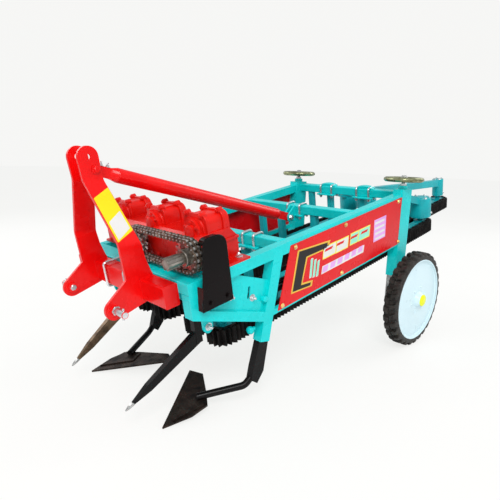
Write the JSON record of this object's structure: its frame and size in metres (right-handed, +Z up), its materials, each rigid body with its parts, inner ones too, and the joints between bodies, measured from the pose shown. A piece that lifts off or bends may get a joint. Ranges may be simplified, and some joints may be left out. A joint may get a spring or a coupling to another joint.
{
  "type": "mounted peanut harvester",
  "caption": "Three-point mounted peanut digger with shovels, vine lifters and sloping pairs of clamping chains that carry the plants rearward over two depth wheels.",
  "frame": {"origin": "on the floor under the middle of the machine's bounding box", "axes": "+Z up, -Y towards the tractor and hitch, +Y towards the discharge end, +X towards the side with the drive input"},
  "size_m": [0.972, 2.4501, 0.898],
  "materials": {
    "frame_paint": "gloss",
    "panel_red": "gloss",
    "wheel_zinc": "satin",
    "steel": "satin",
    "rubber": "matte",
    "disc_white": "gloss",
    "hitch_red": "gloss",
    "tool_black": "satin",
    "lifter_steel": "satin",
    "bolt_zinc": "satin",
    "housing_red": "gloss",
    "chain_steel": "satin",
    "guard_black": "gloss",
    "clamp_black": "satin",
    "carrier_blue": "satin"
  },
  "bodies": {
    "machine": {"side_frame_near": "frame_paint", "gusset_near": "frame_paint", "leg_sleeve_near": "frame_paint", "side_panel_near": "panel_red", "handwheel_near": "wheel_zinc", "wheel_leg_near": "steel", "mast_plate_near": "hitch_red", "shovel_blade_near": "tool_black", "shovel_shank_near": "tool_black", "vine_lifter_near": "lifter_steel", "side_frame_far": "frame_paint", "gusset_far": "frame_paint", "leg_sleeve_far": "frame_paint", "side_panel_far": "panel_red", "handwheel_far": "wheel_zinc", "wheel_leg_far": "steel", "mast_plate_far": "hitch_red", "shovel_blade_far": "tool_black", "shovel_shank_far": "tool_black", "vine_lifter_far": "lifter_steel", "front_beam": "frame_paint", "front_cross_tube": "frame_paint", "mid_cross_tube": "frame_paint", "rear_cross_tube": "frame_paint", "hitch_beam": "hitch_red", "hitch_u_bolts": "bolt_zinc", "brace_tube": "hitch_red", "brace_fittings": "bolt_zinc", "gearbox_housing": "housing_red", "input_shaft": "steel", "middle_sprocket": "steel", "drive_chain": "chain_steel", "chain_guard": "guard_black", "clamp_chain_outer_near": "clamp_black", "chain_carrier_outer_near": "carrier_blue", "clamp_chain_inner_near": "clamp_black", "chain_carrier_inner_near": "carrier_blue", "clamp_chain_inner_far": "clamp_black", "chain_carrier_inner_far": "carrier_blue", "clamp_chain_outer_far": "clamp_black", "chain_carrier_outer_far": "carrier_blue"},
    "wheel_near": {"tyre_near": "rubber", "wheel_disc_near": "disc_white"},
    "wheel_far": {"tyre_far": "rubber", "wheel_disc_far": "disc_white"}
  },
  "joints": [
    {"name": "wheel_spin_near", "type": "hinge", "parent": "machine", "child": "wheel_near", "pos_m": [0.435, 0.246, 0.231], "axis": [1, 0, 0], "continuous": true},
    {"name": "wheel_spin_far", "type": "hinge", "parent": "machine", "child": "wheel_far", "pos_m": [-0.435, 0.246, 0.231], "axis": [1, 0, 0], "continuous": true}
  ]
}
